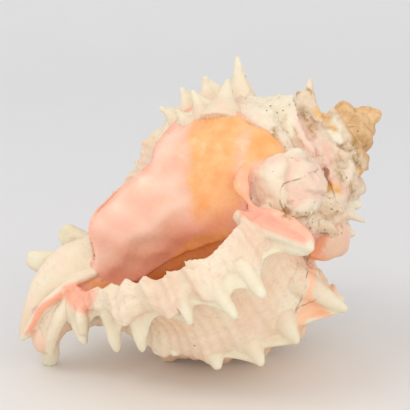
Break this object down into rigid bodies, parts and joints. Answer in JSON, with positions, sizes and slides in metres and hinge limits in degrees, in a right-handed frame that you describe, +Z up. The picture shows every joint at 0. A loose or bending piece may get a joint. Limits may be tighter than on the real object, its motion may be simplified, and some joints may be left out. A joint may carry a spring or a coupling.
{
  "type": "murex shell",
  "caption": "Spiny coiled sea snail shell with a wide pink and orange mouth shield, lying mouth up on its ribs.",
  "frame": {"origin": "centre of the base of the shell's box, on the surface that it lies on", "axes": "+Z up, +X towards the end with the pointed spire, -Y towards the side that the lip of the mouth faces"},
  "size_m": [0.111, 0.1016, 0.0923],
  "materials": {
    "shell": "satin cream outside, glossy salmon pink and orange in the mouth, rough tan at the tip"
  },
  "bodies": {
    "root": {"shell": "shell"}
  },
  "joints": []
}
